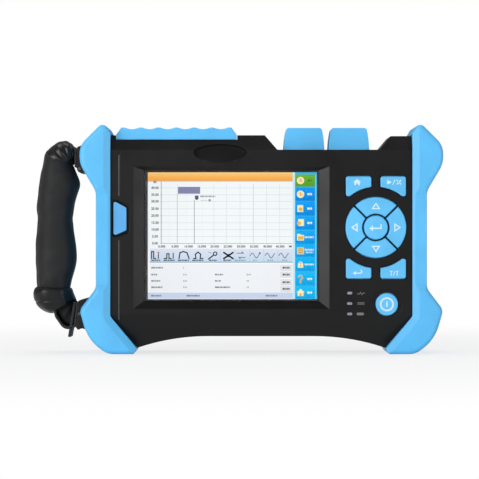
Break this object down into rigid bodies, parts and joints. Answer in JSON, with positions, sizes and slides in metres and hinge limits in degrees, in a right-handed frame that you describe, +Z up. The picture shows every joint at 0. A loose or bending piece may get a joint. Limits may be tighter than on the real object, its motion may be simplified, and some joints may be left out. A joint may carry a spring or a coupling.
{
  "type": "optical time domain reflectometer",
  "caption": "Hand-held fibre tester with a landscape display, keypad, hinged port covers, corner bumpers, kickstand and a padded side hand strap.",
  "frame": {"origin": "on the resting plane under the middle of the whole tester's outline, strap included", "axes": "+X across the face to the keypad side, -Y out of the display, +Z up"},
  "size_m": [0.2776, 0.062, 0.1558],
  "materials": {
    "black_housing": "fine matt moulded texture",
    "seal": "matt gasket",
    "blue_bumper": "satin sky-blue rubberised moulding",
    "blue_keys": "satin moulded key caps",
    "badge": "bare satin insert",
    "lens": "clear anti-glare window",
    "lcd": "lit display panel",
    "pressed_steel": "plain zinc-plated steel",
    "board": "solder-masked board",
    "switch": "moulded black",
    "brass_post": "turned",
    "module_case": "bead-blasted",
    "light_pipe": "frosted clear",
    "nickel_adapter": "nickel-plated turned metal",
    "screw": "blackened steel",
    "cell_pack": "shrink-wrapped cells",
    "strap_plastic": "moulded nylon",
    "webbing": "woven nylon band",
    "foam_grip": "neoprene over foam"
  },
  "bodies": {
    "housing": {"front_shell": "black_housing", "rear_shell": "black_housing", "battery_door": "black_housing", "housing_seal": "seal", "left_bumper": "blue_bumper", "right_bumper": "blue_bumper", "badge_insert": "badge", "display_window": "lens", "lcd_module": "lcd", "lcd_bracket": "pressed_steel", "port_cover_pin": "pressed_steel", "otdr_cap_pin": "pressed_steel", "vfl_cap_pin": "pressed_steel", "kickstand_pin": "pressed_steel", "strap_bars": "pressed_steel", "usb_socket": "pressed_steel", "mini_usb_socket": "pressed_steel", "card_slot": "pressed_steel", "main_board": "board", "keypad_board": "board", "key_switches": "switch", "dc_jack": "switch", "sounder": "switch", "board_spacers": "brass_post", "otdr_module": "module_case", "status_light_pipes": "light_pipe", "otdr_adapter": "nickel_adapter", "vfl_adapter": "nickel_adapter", "battery_door_screws": "screw", "housing_screws": "screw", "battery_pack": "cell_pack", "strap_anchor_upper": "strap_plastic", "strap_anchor_lower": "strap_plastic", "strap_webbing": "webbing", "hand_strap_grip": "foam_grip"},
    "port_cover": {"port_cover": "blue_bumper"},
    "otdr_cap": {"otdr_cap": "blue_bumper"},
    "vfl_cap": {"vfl_cap": "blue_bumper"},
    "kickstand": {"kickstand": "black_housing"},
    "key_enter": {"key_enter": "blue_keys"},
    "key_power": {"key_power": "blue_keys"},
    "key_up": {"key_up": "blue_keys"},
    "key_right": {"key_right": "blue_keys"},
    "key_down": {"key_down": "blue_keys"},
    "key_left": {"key_left": "blue_keys"},
    "key_home": {"key_home": "blue_keys"},
    "key_run": {"key_run": "blue_keys"},
    "key_escape": {"key_escape": "blue_keys"},
    "key_cursor": {"key_cursor": "blue_keys"}
  },
  "joints": [
    {"name": "port_cover_hinge", "type": "hinge", "parent": "housing", "child": "port_cover", "pos_m": [-0.04275, 0.0168, 0.1484], "axis": [-1, 0, 0], "range_deg": [0, 110]},
    {"name": "otdr_cap_hinge", "type": "hinge", "parent": "housing", "child": "otdr_cap", "pos_m": [0.04455, 0.012, 0.1419], "axis": [-1, 0, 0], "range_deg": [0, 105]},
    {"name": "vfl_cap_hinge", "type": "hinge", "parent": "housing", "child": "vfl_cap", "pos_m": [0.0752, 0.012, 0.1419], "axis": [-1, 0, 0], "range_deg": [0, 105]},
    {"name": "kickstand_hinge", "type": "hinge", "parent": "housing", "child": "kickstand", "pos_m": [0.06925, 0.0232, 0.104], "axis": [1, 0, 0], "range_deg": [0, 50]},
    {"name": "key_enter_press", "type": "slide", "parent": "housing", "child": "key_enter", "axis": [0, 1, 0], "range_m": [0, 0.001], "stiffness_N_per_m": 800},
    {"name": "key_power_press", "type": "slide", "parent": "housing", "child": "key_power", "axis": [0, 1, 0], "range_m": [0, 0.001], "stiffness_N_per_m": 800},
    {"name": "key_up_press", "type": "slide", "parent": "housing", "child": "key_up", "axis": [0, 1, 0], "range_m": [0, 0.001], "stiffness_N_per_m": 800},
    {"name": "key_right_press", "type": "slide", "parent": "housing", "child": "key_right", "axis": [0, 1, 0], "range_m": [0, 0.001], "stiffness_N_per_m": 800},
    {"name": "key_down_press", "type": "slide", "parent": "housing", "child": "key_down", "axis": [0, 1, 0], "range_m": [0, 0.001], "stiffness_N_per_m": 800},
    {"name": "key_left_press", "type": "slide", "parent": "housing", "child": "key_left", "axis": [0, 1, 0], "range_m": [0, 0.001], "stiffness_N_per_m": 800},
    {"name": "key_home_press", "type": "slide", "parent": "housing", "child": "key_home", "axis": [0, 1, 0], "range_m": [0, 0.001], "stiffness_N_per_m": 800},
    {"name": "key_run_press", "type": "slide", "parent": "housing", "child": "key_run", "axis": [0, 1, 0], "range_m": [0, 0.001], "stiffness_N_per_m": 800},
    {"name": "key_escape_press", "type": "slide", "parent": "housing", "child": "key_escape", "axis": [0, 1, 0], "range_m": [0, 0.001], "stiffness_N_per_m": 800},
    {"name": "key_cursor_press", "type": "slide", "parent": "housing", "child": "key_cursor", "axis": [0, 1, 0], "range_m": [0, 0.001], "stiffness_N_per_m": 800}
  ]
}
